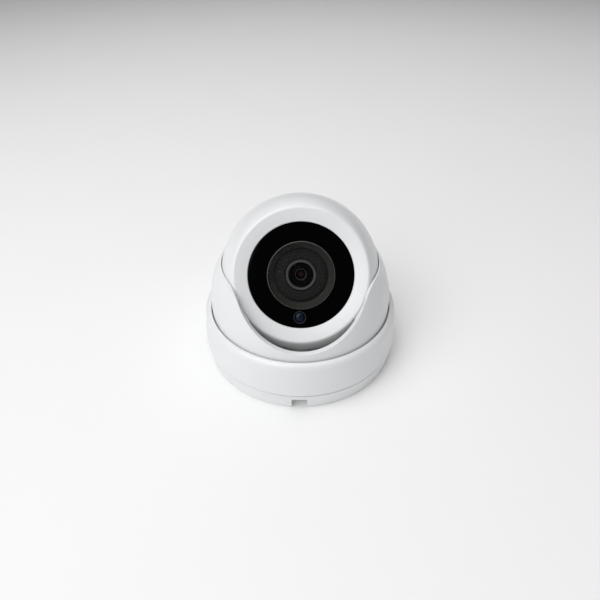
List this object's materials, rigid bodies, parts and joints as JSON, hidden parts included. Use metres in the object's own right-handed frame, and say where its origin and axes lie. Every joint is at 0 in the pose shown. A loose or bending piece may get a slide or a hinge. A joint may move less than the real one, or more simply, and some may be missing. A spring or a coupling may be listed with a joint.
{
  "type": "eyeball dome security camera",
  "caption": "Surface-mount eyeball dome security camera: round base and outer ring, panning scooped collar, ball with a black infrared window, lens and light sensor.",
  "frame": {"origin": "centre of the base's underside, on the pan axis", "axes": "+Z away from the mounting surface along the pan axis; -Y to the front, where the lens looks at rest; +X along the tilt axis"},
  "size_m": [0.094, 0.094, 0.0783],
  "materials": {
    "white_paint": "satin white powder coat",
    "white_paint_inner": "satin white powder coat, rear shell",
    "zinc_steel": "zinc plated screws and nut",
    "spring_steel": "bare stamped spring steel",
    "brass": "turned",
    "rubber": "matt black",
    "acetal": "natural acetal",
    "ir_window": "polished black, passes infrared",
    "hood_black": "fine matt",
    "barrel_metal": "black anodised",
    "clear_window": "clear, bevelled edge",
    "optic_glass": "coated",
    "sensor_lens": "dark blue epoxy",
    "filter_glass": "coated blue-green",
    "circuit_board": "solder mask",
    "chip_black": "moulded package",
    "chip_ceramic": "glazed package",
    "led_epoxy": "smoked lens",
    "connector": "nylon"
  },
  "bodies": {
    "base": {"base_plate": "white_paint", "outer_ring": "white_paint", "seam_seal": "rubber", "pan_friction_ring": "acetal", "ring_screw_1": "zinc_steel", "ring_screw_2": "zinc_steel", "ring_screw_3": "zinc_steel"},
    "collar": {"collar": "white_paint", "tilt_washer_right": "acetal", "tilt_washer_left": "acetal"},
    "gimbal": {"gimbal_stirrup": "spring_steel"},
    "ball": {"ball_front_shell": "white_paint", "ball_rear_shell": "white_paint_inner", "shell_o_ring": "rubber", "shell_screw_1": "zinc_steel", "shell_screw_2": "zinc_steel", "shell_screw_3": "zinc_steel", "neck_nut": "zinc_steel", "rotation_washer": "acetal", "cable_grommet": "rubber", "ir_window": "ir_window", "lens_window": "clear_window", "window_gasket": "rubber", "light_sensor": "sensor_lens", "led_board": "circuit_board", "ir_led_1": "led_epoxy", "ir_led_2": "led_epoxy", "ir_led_3": "led_epoxy", "ir_led_4": "led_epoxy", "ir_led_5": "led_epoxy", "ir_led_6": "led_epoxy", "ir_led_7": "led_epoxy", "ir_led_8": "led_epoxy", "led_board_screw_1": "zinc_steel", "led_board_screw_2": "zinc_steel", "lens_hood": "hood_black", "lens_barrel": "barrel_metal", "front_lens": "optic_glass", "lens_iris": "hood_black", "rear_lens": "optic_glass", "lens_mount": "hood_black", "ir_cut_filter": "filter_glass", "image_sensor": "chip_ceramic", "sensor_board": "circuit_board", "power_board": "circuit_board", "processor": "chip_black", "cable_socket": "connector", "board_spacer_1": "brass", "board_spacer_2": "brass", "board_screw_1": "zinc_steel", "board_screw_2": "zinc_steel"}
  },
  "joints": [
    {"name": "pan", "type": "hinge", "parent": "base", "child": "collar", "pos_m": [0, 0, 0.0263], "axis": [0, 0, 1], "range_deg": [-180, 180]},
    {"name": "tilt", "type": "hinge", "parent": "collar", "child": "gimbal", "pos_m": [0, 0, 0.0421], "axis": [1, 0, 0], "range_deg": [-58, 17]},
    {"name": "rotation", "type": "hinge", "parent": "gimbal", "child": "ball", "pos_m": [0, 0, 0.0421], "axis": [0, -0.8499, 0.527], "range_deg": [-180, 180]}
  ]
}
